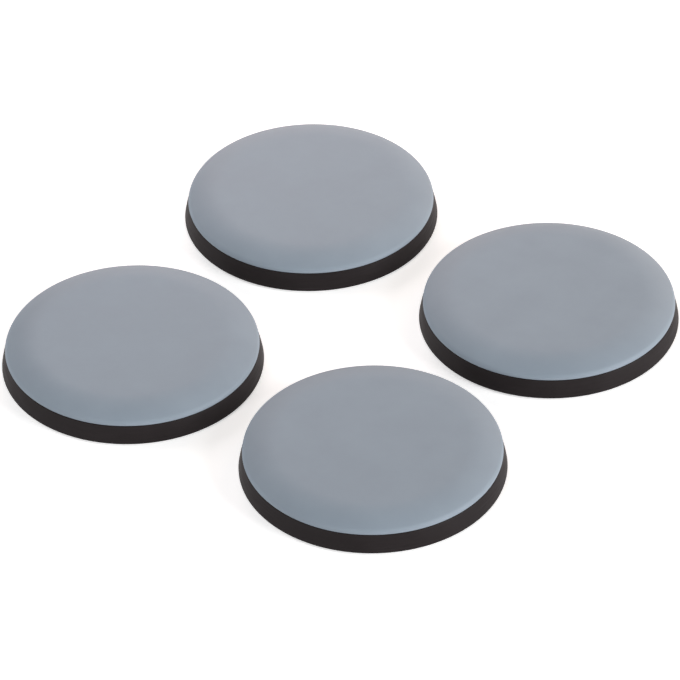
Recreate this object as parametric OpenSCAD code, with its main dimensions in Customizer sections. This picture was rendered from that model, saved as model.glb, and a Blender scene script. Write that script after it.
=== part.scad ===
// A set of four round self-adhesive furniture sliders, lying face up on a table. Each one is a
// slippery grey glide face, bonded by a thin film to a black rubber pad. Adhesive tape covers the
// underside of the pad, and a release liner covers the tape until the slider goes on a leg.

/* [Slider] */
// Diameter of one slider at its foot
slider_d = 50; // [30:1:80]
// Height of one slider from the underside of its liner to the top of its glide face
slider_h = 6.6; // [5.5:0.1:10]

/* [Glide face] */
// Radius of the tight roll around the rim of the glide face
roll_r = 1.2; // [0.8:0.1:1.6]
// Slope in degrees at which the gentle shoulder of the glide face meets the roll
shoulder_slope = 28; // [16:1:32]
// Share of the glide face's radius that is flat
flat_share = 0.735; // [0.68:0.005:0.78]

/* [Bonding film] */
// Thickness of the film that bonds the glide face to the pad
film_t = 0.1; // [0.05:0.05:0.3]
// Distance from the rim of the glide face in to the edge of the film
film_inset = 0.3; // [0.1:0.1:1]

/* [Rubber pad] */
// Distance by which the wall of the pad leans in between its foot and the glide face
wall_lean = 0.75; // [0:0.05:1.5]
// Size of the bevel around the foot of the pad
foot_bevel = 0.2; // [0.1:0.1:0.6]

/* [Adhesive back] */
// Thickness of the adhesive tape
tape_t = 0.2; // [0.1:0.05:0.5]
// Distance from the foot of the pad in to the edge of the tape
tape_inset = 0.8; // [0.5:0.1:2]
// Thickness of the release liner
liner_t = 0.1; // [0.05:0.05:0.2]

/* [Set] */
// Gap between neighbouring sliders, which lie at the corners of a square
gap = 7; // [2:0.5:40]
// Distance by which the front right slider lies in from its corner, both ways
corner_in = 1.4; // [0:0.1:1.4]

/* [Hidden] */
// Roundness of every turned shape
$fn = 180;
// Distance by which one shape runs past another that it trims
cut_over = 1;
// Colours of the five layers
face_colour = "#969ca4";
film_colour = "#3a3a3c";
pad_colour = "#262424";
tape_colour = "#34322f";
liner_colour = "#e6ddc6";

// Radii of the layers
foot_r = slider_d / 2;
rim_r = foot_r - wall_lean;
flat_r = rim_r * flat_share;
film_r = rim_r - film_inset;
tape_r = foot_r - tape_inset;

// The roll is an arc that starts level with the underside of the face, at its rim
roll_x = rim_r - roll_r;
roll_end_x = roll_x + roll_r * sin(shoulder_slope);
roll_end_h = roll_r * cos(shoulder_slope);

// The shoulder is a wide arc from the edge of the flat to the end of the roll
chord_slope_share = 0.5;
entry_slope_share = 0.2;
chord_slope = shoulder_slope * chord_slope_share;
entry_slope = shoulder_slope * entry_slope_share;
exit_slope = 2 * chord_slope - entry_slope;
shoulder_w = roll_end_x - flat_r;
shoulder_drop = shoulder_w * tan(chord_slope);
shoulder_chord = shoulder_w / cos(chord_slope);
shoulder_r = shoulder_chord / (2 * sin(chord_slope - entry_slope));
shoulder_x = flat_r - shoulder_r * sin(entry_slope);
roll_start_x = roll_x + roll_r * sin(exit_slope);

// Heights of the layers above the table
face_t = roll_end_h + shoulder_drop;
shoulder_z = face_t - shoulder_r * cos(entry_slope);
tape_z = liner_t;
pad_z = tape_z + tape_t;
face_z = slider_h - face_t;
film_z = face_z - film_t;
pad_h = film_z - pad_z;

// Places of the four sliders, as steps left or right and to the front or the back
step = (slider_d + gap) / 2;
short_step = step - corner_in;
places = [
    ["front_left", [-step, -step, 0]],
    ["front_right", [short_step, -short_step, 0]],
    ["back_right", [step, step, 0]],
    ["back_left", [-step, step, 0]]
];

// The layers of one slider, from the top down
layers = ["glide_face", "bonding_film", "rubber_pad", "adhesive_tape", "release_liner"];

// Inner part of the glide face's section, in from where one of its arcs takes over
module inner_section(reach) {
    translate([-cut_over, -cut_over])
        square([reach + cut_over, face_t + 2 * cut_over]);
}

// Half of the glide face's section: flat, then the wide arc of the shoulder, then the tight roll
module face_section() {
    intersection() {
        square([rim_r + cut_over, face_t]);
        union() {
            inner_section(shoulder_x);
            translate([shoulder_x, shoulder_z]) circle(r = shoulder_r);
        }
        union() {
            inner_section(roll_start_x);
            translate([roll_x, 0]) circle(r = roll_r);
        }
    }
}

// Moulded disc of slippery low-friction plastic, the side that runs on the floor
module glide_face() {
    color(face_colour)
        translate([0, 0, face_z])
        rotate_extrude() face_section();
}

// Film of glue that holds the face on the pad, just short of the rim
module bonding_film() {
    color(film_colour)
        translate([0, 0, film_z])
        cylinder(r = film_r, h = film_t);
}

// Solid rubber disc whose wall leans in from the foot to the glide face
module rubber_pad() {
    bevel_r = foot_r - foot_bevel;
    color(pad_colour)
        translate([0, 0, pad_z])
        rotate_extrude() polygon([
            [0, 0],
            [bevel_r, 0],
            [foot_r, foot_bevel],
            [rim_r, pad_h],
            [0, pad_h]
        ]);
}

// Double-sided tape under the pad, cut a little smaller so that no glue shows
module adhesive_tape() {
    color(tape_colour)
        translate([0, 0, tape_z])
        cylinder(r = tape_r, h = tape_t);
}

// Coated paper that keeps the tape clean, cut to the same outline
module release_liner() {
    color(liner_colour) cylinder(r = tape_r, h = liner_t);
}

// One named piece at its place in the set
module piece(place, layer) {
    translate(place[1]) {
        if (layer == "glide_face") glide_face();
        if (layer == "bonding_film") bonding_film();
        if (layer == "rubber_pad") rubber_pad();
        if (layer == "adhesive_tape") adhesive_tape();
        if (layer == "release_liner") release_liner();
    }
}

for (place = places) for (layer = layers)
    piece(place, layer);
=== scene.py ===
import math

import bpy
from mathutils import Matrix, Vector


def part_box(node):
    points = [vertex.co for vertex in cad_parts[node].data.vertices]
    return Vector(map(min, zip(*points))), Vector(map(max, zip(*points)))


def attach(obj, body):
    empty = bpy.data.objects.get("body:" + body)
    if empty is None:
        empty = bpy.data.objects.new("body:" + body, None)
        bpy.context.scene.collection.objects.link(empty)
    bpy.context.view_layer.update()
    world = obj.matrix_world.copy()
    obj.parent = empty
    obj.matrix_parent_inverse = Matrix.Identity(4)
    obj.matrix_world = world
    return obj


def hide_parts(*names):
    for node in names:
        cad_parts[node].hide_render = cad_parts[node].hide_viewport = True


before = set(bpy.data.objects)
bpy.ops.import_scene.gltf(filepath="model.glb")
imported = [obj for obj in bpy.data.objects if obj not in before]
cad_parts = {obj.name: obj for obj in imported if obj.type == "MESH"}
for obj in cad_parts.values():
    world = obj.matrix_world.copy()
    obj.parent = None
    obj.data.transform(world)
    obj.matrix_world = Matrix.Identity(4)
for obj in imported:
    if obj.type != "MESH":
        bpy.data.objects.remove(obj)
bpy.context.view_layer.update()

# Rubber pads
# Solid black rubber discs, die-cut from moulded sheet, so the wall leans and bulges a little and
# shows fine streaks that run around it. The pad is the core that every other layer is stuck to.
MM = 0.001
PLACES = ("front_left", "front_right", "back_right", "back_left")
STEPS_AROUND = 240
SHARP_ANGLE = math.radians(40)
WELD_DISTANCE = 0.0005 * MM
# Most values of a noise texture lie between these two
NOISE_LOW = 0.3
NOISE_HIGH = 0.7
PAD_TOP_ROUND = 0.25 * MM
PAD_FOOT_ROUND = 0.2 * MM
PAD_BULGE = 0.06 * MM
PAD_BLACK = "#1d1819"
PAD_BLOOM = "#262122"
RUBBER_IOR = 1.24
RUBBER_ROUGH = (0.5, 0.66)
RUBBER_BLOOM_RANGE = (0.15, 0.45)
RUBBER_BLOOM_PATCH = 7 * MM
RUBBER_STREAK_LENGTH = 5 * MM
RUBBER_STREAK_HEIGHT = 0.3 * MM
RUBBER_GRAIN = 0.35 * MM
RUBBER_RELIEF = 0.03 * MM
RUBBER_RELIEF_STRENGTH = 0.35


def add_node(tree, kind, inputs=None, **settings):
    """Adds a node, sets its properties, and fills or links its inputs."""
    made = tree.nodes.new(kind)
    for name, value in settings.items():
        setattr(made, name, value)
    for socket, value in (inputs or {}).items():
        if isinstance(value, bpy.types.NodeSocket):
            tree.links.new(value, made.inputs[socket])
        else:
            made.inputs[socket].default_value = value
    return made


def linear(hex_colour):
    """An sRGB hex colour as linear red, green, blue and alpha."""
    shares = [int(hex_colour[i:i + 2], 16) / 255 for i in (1, 3, 5)]
    return [s / 12.92 if s <= 0.04045 else ((s + 0.055) / 1.055) ** 2.4 for s in shares] + [1.0]


def new_material(name):
    """An empty node material with its output, and that output's node."""
    material = bpy.data.materials.new(name)
    material.use_nodes = True
    material.node_tree.nodes.clear()
    return material, add_node(material.node_tree, "ShaderNodeOutputMaterial")


def arc(centre, radius, first, last, steps):
    """Points (radius, height) on an arc, with its angles in degrees from straight up, outwards."""
    angles = [math.radians(first + (last - first) * i / steps) for i in range(steps + 1)]
    return [(centre[0] + radius * math.sin(a), centre[1] + radius * math.cos(a)) for a in angles]


def turning_tree():
    """Geometry Nodes that turn an outline in the XZ plane around an upright axis through Centre."""
    tree = bpy.data.node_groups.new("turn an outline", "GeometryNodeTree")
    sockets = tree.interface
    sockets.new_socket("Outline", in_out="INPUT", socket_type="NodeSocketGeometry")
    sockets.new_socket("Centre", in_out="INPUT", socket_type="NodeSocketVector")
    sockets.new_socket("Steps around", in_out="INPUT", socket_type="NodeSocketInt")
    sockets.new_socket("Finish", in_out="INPUT", socket_type="NodeSocketMaterial")
    sockets.new_socket("Turned piece", in_out="OUTPUT", socket_type="NodeSocketGeometry")
    given = add_node(tree, "NodeGroupInput").outputs
    size = add_node(tree, "GeometryNodeAttributeDomainSize", {"Geometry": given["Outline"]})
    columns = add_node(tree, "ShaderNodeMath", {0: given["Steps around"], 1: 1.0}, operation="ADD")
    grid = add_node(tree, "GeometryNodeMeshGrid",
                    {"Vertices X": size.outputs["Point Count"], "Vertices Y": columns.outputs[0]})
    index = add_node(tree, "GeometryNodeInputIndex")
    index_and_columns = {0: index.outputs[0], 1: columns.outputs[0]}
    share = add_node(tree, "ShaderNodeMath", index_and_columns, operation="DIVIDE")
    outline_point = add_node(tree, "ShaderNodeMath", {0: share.outputs[0]}, operation="FLOOR")
    step = add_node(tree, "ShaderNodeMath", index_and_columns, operation="MODULO")
    turn = add_node(tree, "ShaderNodeMath", {0: step.outputs[0], 1: given["Steps around"]},
                    operation="DIVIDE")
    angle = add_node(tree, "ShaderNodeMath", {0: turn.outputs[0], 1: 2 * math.pi},
                     operation="MULTIPLY")
    place = add_node(tree, "GeometryNodeInputPosition")
    sample = add_node(tree, "GeometryNodeSampleIndex",
                      {"Geometry": given["Outline"], "Value": place.outputs[0],
                       "Index": outline_point.outputs[0]},
                      data_type="FLOAT_VECTOR", domain="POINT")
    swung = add_node(tree, "ShaderNodeVectorRotate",
                     {"Vector": sample.outputs[0], "Angle": angle.outputs[0]},
                     rotation_type="Z_AXIS")
    moved = add_node(tree, "ShaderNodeVectorMath", {0: swung.outputs[0], 1: given["Centre"]},
                     operation="ADD")
    shaped = add_node(tree, "GeometryNodeSetPosition",
                      {"Geometry": grid.outputs["Mesh"], "Position": moved.outputs[0]})
    welded = add_node(tree, "GeometryNodeMergeByDistance",
                      {"Geometry": shaped.outputs[0], "Distance": WELD_DISTANCE})
    smooth = add_node(tree, "GeometryNodeSetShadeSmooth",
                      {"Geometry": welded.outputs[0], "Shade Smooth": True}, domain="FACE")
    edge = add_node(tree, "GeometryNodeInputMeshEdgeAngle")
    sharp = add_node(tree, "ShaderNodeMath", {0: edge.outputs["Unsigned Angle"], 1: SHARP_ANGLE},
                     operation="GREATER_THAN")
    creased = add_node(tree, "GeometryNodeSetShadeSmooth",
                       {"Geometry": smooth.outputs[0], "Selection": sharp.outputs[0],
                        "Shade Smooth": False},
                       domain="EDGE")
    real = add_node(tree, "GeometryNodeRealizeInstances", {"Geometry": creased.outputs[0]})
    finished = add_node(tree, "GeometryNodeSetMaterial",
                        {"Geometry": real.outputs[0], "Material": given["Finish"]})
    add_node(tree, "NodeGroupOutput", {"Turned piece": finished.outputs[0]})
    return tree


def turn_layer(layer, outline, material, body_end):
    """Turns one outline into a piece at each slider's place, instead of that layer's CAD node."""
    for place in PLACES:
        node = f"{place}_{layer}"
        low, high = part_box(node)
        mesh = bpy.data.meshes.new(node)
        points = [(radius, 0.0, height) for radius, height in outline]
        mesh.from_pydata(points, [(i, i + 1) for i in range(len(points) - 1)], [])
        piece = bpy.data.objects.new(f"{node}_turned", mesh)
        bpy.context.scene.collection.objects.link(piece)
        modifier = piece.modifiers.new("turn", "NODES")
        modifier.node_group = turning
        values = {
            "Centre": ((low.x + high.x) / 2, (low.y + high.y) / 2, 0.0),
            "Steps around": STEPS_AROUND,
            "Finish": material,
        }
        for item in turning.interface.items_tree:
            if item.name in values:
                modifier[item.identifier] = values[item.name]
        evaluated = piece.evaluated_get(bpy.context.evaluated_depsgraph_get())
        turned = bpy.data.meshes.new_from_object(evaluated)
        piece.modifiers.remove(modifier)
        piece.data = turned
        bpy.data.meshes.remove(mesh)
        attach(piece, f"{place}_{body_end}")
        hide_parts(node)


def black_rubber():
    """Moulded black rubber: matt, with a faint grey bloom in patches and streaks along the cut."""
    material, output = new_material("black moulded rubber")
    tree = material.node_tree
    spot = add_node(tree, "ShaderNodeTexCoord").outputs["Object"]
    bloom = add_node(tree, "ShaderNodeTexNoise",
                     {"Vector": spot, "Scale": 1 / RUBBER_BLOOM_PATCH, "Detail": 3.0})
    streak_size = (1 / RUBBER_STREAK_LENGTH, 1 / RUBBER_STREAK_LENGTH, 1 / RUBBER_STREAK_HEIGHT)
    along = add_node(tree, "ShaderNodeMapping", {"Vector": spot, "Scale": streak_size})
    streak = add_node(tree, "ShaderNodeTexNoise",
                      {"Vector": along.outputs[0], "Scale": 1.0, "Detail": 4.0})
    grain = add_node(tree, "ShaderNodeTexNoise",
                     {"Vector": spot, "Scale": 1 / RUBBER_GRAIN, "Detail": 2.0})
    both = add_node(tree, "ShaderNodeMath", {0: bloom.outputs[0], 1: streak.outputs[0]},
                    operation="MULTIPLY")
    colour = add_node(tree, "ShaderNodeValToRGB", {0: both.outputs[0]})
    colour.color_ramp.elements[0].position = RUBBER_BLOOM_RANGE[0]
    colour.color_ramp.elements[0].color = linear(PAD_BLACK)
    colour.color_ramp.elements[1].position = RUBBER_BLOOM_RANGE[1]
    colour.color_ramp.elements[1].color = linear(PAD_BLOOM)
    rough = add_node(tree, "ShaderNodeMapRange",
                     {"Value": streak.outputs[0], "From Min": NOISE_LOW, "From Max": NOISE_HIGH,
                      "To Min": RUBBER_ROUGH[0], "To Max": RUBBER_ROUGH[1]})
    relief = add_node(tree, "ShaderNodeMath", {0: streak.outputs[0], 1: grain.outputs[0]},
                      operation="ADD")
    bump = add_node(tree, "ShaderNodeBump",
                    {"Height": relief.outputs[0], "Strength": RUBBER_RELIEF_STRENGTH,
                     "Distance": RUBBER_RELIEF})
    shader = add_node(tree, "ShaderNodeBsdfPrincipled",
                      {"Base Color": colour.outputs[0], "Roughness": rough.outputs[0],
                       "IOR": RUBBER_IOR, "Normal": bump.outputs[0]})
    tree.links.new(shader.outputs[0], output.inputs["Surface"])
    return material


def pad_outline():
    """Half section of the pad, from the middle of its top to the middle of its underside."""
    pad_low, pad_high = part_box("front_left_rubber_pad")
    face_low, face_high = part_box("front_left_glide_face")
    foot_r = (pad_high.x - pad_low.x) / 2
    top_r = (face_high.x - face_low.x) / 2
    top, foot = pad_high.z, pad_low.z
    wall_steps = 10
    crown = arc((top_r - PAD_TOP_ROUND, top - PAD_TOP_ROUND), PAD_TOP_ROUND, 0, 80, 5)
    heel = arc((foot_r - PAD_FOOT_ROUND, foot + PAD_FOOT_ROUND), PAD_FOOT_ROUND, 85, 180, 6)
    wall = []
    for i in range(1, wall_steps):
        share = i / wall_steps
        radius = crown[-1][0] + (heel[0][0] - crown[-1][0]) * share
        height = crown[-1][1] + (heel[0][1] - crown[-1][1]) * share
        wall.append((radius + PAD_BULGE * math.sin(math.pi * share), height))
    top_line = [(0.0, top), (top_r / 2, top)]
    foot_line = [(foot_r / 2, foot), (0.0, foot)]
    return top_line + crown + wall + heel + foot_line


turning = turning_tree()
turn_layer("rubber_pad", pad_outline(), black_rubber(), "slider")

# Bonding films
# A thin layer of black glue film between the pad and the glide face. It stops just short of the
# rim, so it shows only as the dark line under the face.
FILM_EDGE_ROUND = 0.03 * MM
FILM_BLACK = "#161617"
FILM_IOR = 1.5
FILM_ROUGH = (0.35, 0.6)
FILM_FLOW = 1.5 * MM


def glue_film():
    """Cured glue film: dark and a little shiny, with soft flow marks."""
    material, output = new_material("black glue film")
    tree = material.node_tree
    spot = add_node(tree, "ShaderNodeTexCoord").outputs["Object"]
    flow = add_node(tree, "ShaderNodeTexNoise",
                    {"Vector": spot, "Scale": 1 / FILM_FLOW, "Detail": 2.0})
    rough = add_node(tree, "ShaderNodeMapRange",
                     {"Value": flow.outputs[0], "To Min": FILM_ROUGH[0], "To Max": FILM_ROUGH[1]})
    shader = add_node(tree, "ShaderNodeBsdfPrincipled",
                      {"Base Color": linear(FILM_BLACK), "Roughness": rough.outputs[0],
                       "IOR": FILM_IOR})
    tree.links.new(shader.outputs[0], output.inputs["Surface"])
    return material


def disc_outline(node, edge_round):
    """Half section of a thin flat layer with softened edges, from its top to its underside."""
    low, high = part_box(node)
    radius = (high.x - low.x) / 2 - edge_round
    upper = arc((radius, high.z - edge_round), edge_round, 0, 90, 3)
    lower = arc((radius, low.z + edge_round), edge_round, 90, 180, 3)
    top_line = [(0.0, high.z), (radius / 2, high.z)]
    foot_line = [(radius / 2, low.z), (0.0, low.z)]
    return top_line + upper + lower + foot_line


turn_layer("bonding_film", disc_outline("front_left_bonding_film", FILM_EDGE_ROUND), glue_film(),
           "slider")

# Glide faces
# Moulded discs of filled low-friction plastic, blue-grey right through. The middle is flat, a
# gentle shoulder falls away from it, and a tight roll turns down to the dark line at the pad.
FACE_ROLL = 1.2 * MM
FACE_LIP_ROUND = 0.15 * MM
SHOULDER_SLOPE = 28
FACE_GREY = "#8f9ba7"
FACE_CLOUD = "#95a1ad"
FACE_IOR = 1.33
FACE_ROUGH = (0.56, 0.64)
FACE_CLOUD_PATCH = 9 * MM
# The real grain is finer than this: it is drawn about two pixels wide so that it can show
FACE_GRAIN = 0.3 * MM
FACE_GRAIN_RELIEF = 0.01 * MM
FACE_GRAIN_STRENGTH = 0.12
FACE_RIPPLE = 6 * MM
FACE_RIPPLE_RELIEF = 0.06 * MM
FACE_RIPPLE_STRENGTH = 0.15


def glide_plastic():
    """Satin low-friction plastic: a soft waxy sheen, faint clouds of filler and a fine grain."""
    material, output = new_material("satin low-friction plastic")
    tree = material.node_tree
    spot = add_node(tree, "ShaderNodeTexCoord").outputs["Object"]
    cloud = add_node(tree, "ShaderNodeTexNoise",
                     {"Vector": spot, "Scale": 1 / FACE_CLOUD_PATCH, "Detail": 4.0})
    colour = add_node(tree, "ShaderNodeValToRGB", {0: cloud.outputs[0]})
    colour.color_ramp.elements[0].position = NOISE_LOW
    colour.color_ramp.elements[0].color = linear(FACE_GREY)
    colour.color_ramp.elements[1].position = NOISE_HIGH
    colour.color_ramp.elements[1].color = linear(FACE_CLOUD)
    grain = add_node(tree, "ShaderNodeTexNoise",
                     {"Vector": spot, "Scale": 1 / FACE_GRAIN, "Detail": 2.0})
    ripple = add_node(tree, "ShaderNodeTexNoise",
                      {"Vector": spot, "Scale": 1 / FACE_RIPPLE, "Detail": 1.0})
    rough = add_node(tree, "ShaderNodeMapRange",
                     {"Value": cloud.outputs[0], "From Min": NOISE_LOW, "From Max": NOISE_HIGH,
                      "To Min": FACE_ROUGH[0], "To Max": FACE_ROUGH[1]})
    fine = add_node(tree, "ShaderNodeBump",
                    {"Height": grain.outputs[0], "Strength": FACE_GRAIN_STRENGTH,
                     "Distance": FACE_GRAIN_RELIEF})
    bump = add_node(tree, "ShaderNodeBump",
                    {"Height": ripple.outputs[0], "Strength": FACE_RIPPLE_STRENGTH,
                     "Distance": FACE_RIPPLE_RELIEF, "Normal": fine.outputs[0]})
    shader = add_node(tree, "ShaderNodeBsdfPrincipled",
                      {"Base Color": colour.outputs[0], "Roughness": rough.outputs[0],
                       "IOR": FACE_IOR, "Normal": bump.outputs[0]})
    tree.links.new(shader.outputs[0], output.inputs["Surface"])
    return material


def face_outline():
    """Half section of the glide face, from the middle of its top to the middle of its underside."""
    low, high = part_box("front_left_glide_face")
    rim_r = (high.x - low.x) / 2
    slope = math.radians(SHOULDER_SLOPE)
    drop = (high.z - low.z) - FACE_ROLL * math.cos(slope)
    shoulder_r = drop / (1 - math.cos(slope))
    roll_x = rim_r - FACE_ROLL
    flat_r = roll_x + FACE_ROLL * math.sin(slope) - shoulder_r * math.sin(slope)
    flat_steps = 8
    flat = [(flat_r * i / flat_steps, high.z) for i in range(flat_steps)]
    shoulder = arc((flat_r, high.z - shoulder_r), shoulder_r, 0, SHOULDER_SLOPE, 16)
    lip_turn = math.acos(FACE_LIP_ROUND / (FACE_ROLL - FACE_LIP_ROUND))
    lip_x = roll_x + (FACE_ROLL - FACE_LIP_ROUND) * math.sin(lip_turn)
    lip_start = math.degrees(lip_turn)
    roll = arc((roll_x, low.z), FACE_ROLL, SHOULDER_SLOPE, lip_start, 12)[1:]
    lip = arc((lip_x, low.z + FACE_LIP_ROUND), FACE_LIP_ROUND, lip_start, 180, 10)[1:]
    return flat + shoulder + roll + lip + [(flat_r / 2, low.z), (0.0, low.z)]


turn_layer("glide_face", face_outline(), glide_plastic(), "slider")

# Adhesive tapes
# Double-sided tape on the underside of each pad: a dark foam carrier with a tacky film of glue on
# both sides, cut a little smaller than the pad so that no glue shows.
TAPE_EDGE_ROUND = 0.04 * MM
TAPE_DARK = "#2b2926"
TAPE_PALE = "#3b3834"
TAPE_IOR = 1.47
TAPE_ROUGH = 0.28
TAPE_BUBBLE = 1.2 * MM
TAPE_BUBBLE_EDGE = 0.5
TAPE_BUBBLE_RELIEF = 0.03 * MM
TAPE_BUBBLE_STRENGTH = 0.3


def tacky_tape():
    """Tacky glue on dark foam: glossy, with small bubbles pressed flat under the liner."""
    material, output = new_material("tacky foam tape")
    tree = material.node_tree
    spot = add_node(tree, "ShaderNodeTexCoord").outputs["Object"]
    bubble = add_node(tree, "ShaderNodeTexVoronoi", {"Vector": spot, "Scale": 1 / TAPE_BUBBLE})
    colour = add_node(tree, "ShaderNodeValToRGB", {0: bubble.outputs["Distance"]})
    colour.color_ramp.elements[0].color = linear(TAPE_PALE)
    colour.color_ramp.elements[1].position = TAPE_BUBBLE_EDGE
    colour.color_ramp.elements[1].color = linear(TAPE_DARK)
    bump = add_node(tree, "ShaderNodeBump",
                    {"Height": bubble.outputs["Distance"], "Strength": TAPE_BUBBLE_STRENGTH,
                     "Distance": TAPE_BUBBLE_RELIEF})
    shader = add_node(tree, "ShaderNodeBsdfPrincipled",
                      {"Base Color": colour.outputs[0], "Roughness": TAPE_ROUGH,
                       "IOR": TAPE_IOR, "Normal": bump.outputs[0]})
    tree.links.new(shader.outputs[0], output.inputs["Surface"])
    return material


turn_layer("adhesive_tape", disc_outline("front_left_adhesive_tape", TAPE_EDGE_ROUND), tacky_tape(),
           "slider")

# Release liners
# Discs of silicone-coated paper, die-cut together with the tape that they keep clean. Each one
# is pulled off before its slider is pressed on a leg.
LINER_EDGE_ROUND = 0.02 * MM
LINER_CREAM = "#e4dac2"
LINER_FIBRE = "#d3c6a8"
LINER_IOR = 1.45
LINER_ROUGH = 0.42
LINER_FIBRE_WIDTH = 0.4 * MM
LINER_FIBRE_LENGTH = 3 * MM
LINER_FIBRE_RANGE = (0.35, 0.6)
LINER_FIBRE_RELIEF = 0.01 * MM
LINER_FIBRE_STRENGTH = 0.2


def coated_paper():
    """Calendered paper with a silicone coat: cream, smooth, with darker fibres that run one way."""
    material, output = new_material("silicone-coated paper")
    tree = material.node_tree
    spot = add_node(tree, "ShaderNodeTexCoord").outputs["Object"]
    fibre_size = (1 / LINER_FIBRE_LENGTH, 1 / LINER_FIBRE_WIDTH, 1 / LINER_FIBRE_WIDTH)
    along = add_node(tree, "ShaderNodeMapping", {"Vector": spot, "Scale": fibre_size})
    fibre = add_node(tree, "ShaderNodeTexNoise",
                     {"Vector": along.outputs[0], "Scale": 1.0, "Detail": 5.0})
    colour = add_node(tree, "ShaderNodeValToRGB", {0: fibre.outputs[0]})
    colour.color_ramp.elements[0].position = LINER_FIBRE_RANGE[0]
    colour.color_ramp.elements[0].color = linear(LINER_FIBRE)
    colour.color_ramp.elements[1].position = LINER_FIBRE_RANGE[1]
    colour.color_ramp.elements[1].color = linear(LINER_CREAM)
    bump = add_node(tree, "ShaderNodeBump",
                    {"Height": fibre.outputs[0], "Strength": LINER_FIBRE_STRENGTH,
                     "Distance": LINER_FIBRE_RELIEF})
    shader = add_node(tree, "ShaderNodeBsdfPrincipled",
                      {"Base Color": colour.outputs[0], "Roughness": LINER_ROUGH,
                       "IOR": LINER_IOR, "Normal": bump.outputs[0]})
    tree.links.new(shader.outputs[0], output.inputs["Surface"])
    return material


turn_layer("release_liner", disc_outline("front_left_release_liner", LINER_EDGE_ROUND),
           coated_paper(), "liner")

# Table and light
# A plain white table top under a white sky. Three large lamps light the set from the right, the
# front and the left, and two small warm ones close behind it brighten the far rims and the back
# slider. The table keeps a soft shadow.
CAMERA_AZIMUTH = math.radians(37.02)
CAMERA_ELEVATION = math.radians(38.5)
TABLE_SIZE = 4.0
TABLE_WHITE = "#f4f4f4"
TABLE_LIFT = 0.6
SKY_WHITE = "#f7f8fa"
SKY_LIGHT = 0.1

across = Vector((math.cos(CAMERA_AZIMUTH), math.sin(CAMERA_AZIMUTH), 0.0))
away = Vector((-math.sin(CAMERA_AZIMUTH), math.cos(CAMERA_AZIMUTH), 0.0))
overhead = Vector((0.0, 0.0, 1.0))


def seen_as_background(tree):
    """One where the camera, a reflection or a see-through piece shows the surround, else nought."""
    path = add_node(tree, "ShaderNodeLightPath").outputs
    direct = add_node(tree, "ShaderNodeMath", {0: path["Is Camera Ray"], 1: path["Is Glossy Ray"]},
                      operation="MAXIMUM")
    seen = add_node(tree, "ShaderNodeMath", {0: direct.outputs[0], 1: path["Is Transmission Ray"]},
                    operation="MAXIMUM")
    return seen.outputs[0]


def white_table():
    """Matt white table top that looks a little lighter than its light makes it, to end in white."""
    material, output = new_material("white table")
    tree = material.node_tree
    matt = add_node(tree, "ShaderNodeBsdfDiffuse", {"Color": linear(TABLE_WHITE)})
    lift = add_node(tree, "ShaderNodeMath", {0: seen_as_background(tree), 1: TABLE_LIFT},
                    operation="MULTIPLY")
    glow = add_node(tree, "ShaderNodeEmission",
                    {"Color": linear(TABLE_WHITE), "Strength": lift.outputs[0]})
    both = add_node(tree, "ShaderNodeAddShader", {0: matt.outputs[0], 1: glow.outputs[0]})
    tree.links.new(both.outputs[0], output.inputs["Surface"])
    return material


half = TABLE_SIZE / 2
corners = [(-half, -half, 0), (half, -half, 0), (half, half, 0), (-half, half, 0)]
table_mesh = bpy.data.meshes.new("table")
table_mesh.from_pydata(corners, [], [(0, 1, 2, 3)])
table_mesh.materials.append(white_table())
table = bpy.data.objects.new("table", table_mesh)
bpy.context.scene.collection.objects.link(table)

world = bpy.data.worlds.new("white sky")
world.use_nodes = True
world.node_tree.nodes.clear()
sky_strength = add_node(world.node_tree, "ShaderNodeMapRange",
                        {"Value": seen_as_background(world.node_tree), "To Min": SKY_LIGHT,
                         "To Max": 1.0})
sky = add_node(world.node_tree, "ShaderNodeBackground",
               {"Color": linear(SKY_WHITE), "Strength": sky_strength.outputs[0]})
add_node(world.node_tree, "ShaderNodeOutputWorld", {"Surface": sky.outputs[0]})
bpy.context.scene.world = world

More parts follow.
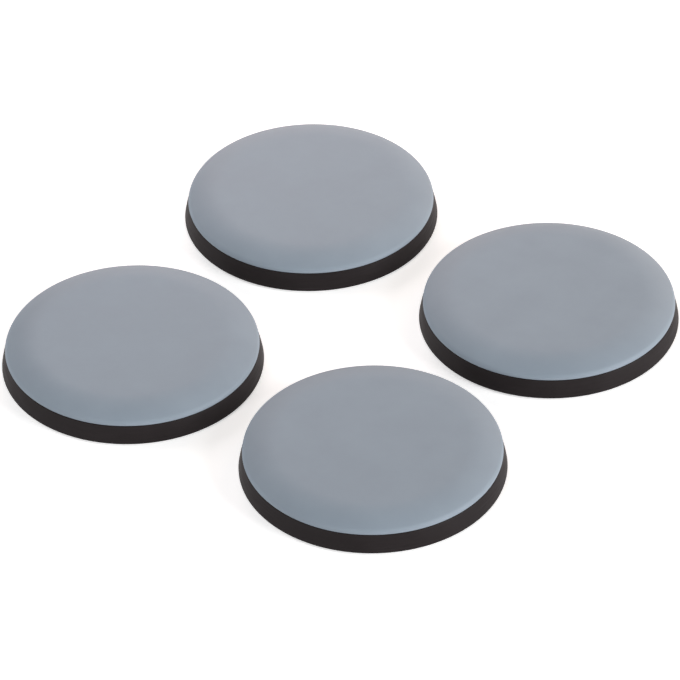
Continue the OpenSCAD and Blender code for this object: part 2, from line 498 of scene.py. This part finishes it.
# Name, degrees from the camera's right round to the back, degrees up, distance and width in
# metres, watts, colour
LAMPS = (
    ("key lamp", 335, 20, 1.6, 0.9, 23.5, "#ffffff"),
    ("front lamp", 230, 25, 1.6, 0.9, 9.4, "#ffffff"),
    ("left lamp", 155, 30, 0.7, 0.4, 1.15, "#ffffff"),
    ("back lamp", 100, 26, 0.35, 0.2, 0.49, "#ffe9e6"),
    ("back right lamp", 48, 24, 0.4, 0.25, 0.48, "#ffe1c8"),
)
for lamp_name, lamp_turn, lamp_rise, lamp_distance, lamp_size, lamp_power, lamp_colour in LAMPS:
    turn_angle = math.radians(lamp_turn)
    rise_angle = math.radians(lamp_rise)
    ground = across * math.cos(turn_angle) + away * math.sin(turn_angle)
    direction = ground * math.cos(rise_angle) + overhead * math.sin(rise_angle)
    lamp_data = bpy.data.lights.new(lamp_name, "AREA")
    lamp_data.shape = "DISK"
    lamp_data.size = lamp_size
    lamp_data.energy = lamp_power
    lamp_data.color = linear(lamp_colour)[:3]
    lamp = bpy.data.objects.new(lamp_name, lamp_data)
    lamp.location = direction * lamp_distance
    lamp.visible_camera = False
    lamp.rotation_mode = "QUATERNION"
    lamp.rotation_quaternion = (-direction).to_track_quat("-Z", "Y")
    bpy.context.scene.collection.objects.link(lamp)

# Camera
# A long lens well back from the set, level to within about a degree, looking down on the faces.
IMAGE_WIDTH = 680
FOCAL_PIXELS = 4880
SENSOR_WIDTH = 36.0
CAMERA_DISTANCE = 936.1 * MM
CAMERA_ROLL = math.radians(-1.07)
AIM_ACROSS = -0.37 * MM
AIM_AWAY = 0.02 * MM

camera_data = bpy.data.cameras.new("camera")
camera_data.sensor_width = SENSOR_WIDTH
camera_data.lens = FOCAL_PIXELS * SENSOR_WIDTH / IMAGE_WIDTH
camera = bpy.data.objects.new("camera", camera_data)
back = overhead * math.sin(CAMERA_ELEVATION) - away * math.cos(CAMERA_ELEVATION)
level_up = back.cross(across)
right = across * math.cos(CAMERA_ROLL) + level_up * math.sin(CAMERA_ROLL)
up = level_up * math.cos(CAMERA_ROLL) - across * math.sin(CAMERA_ROLL)
camera.matrix_world = Matrix((right, up, back)).transposed().to_4x4()
camera.location = back * CAMERA_DISTANCE + across * AIM_ACROSS + away * AIM_AWAY
bpy.context.scene.collection.objects.link(camera)
bpy.context.scene.camera = camera
bpy.context.scene.view_settings.view_transform = "Standard"
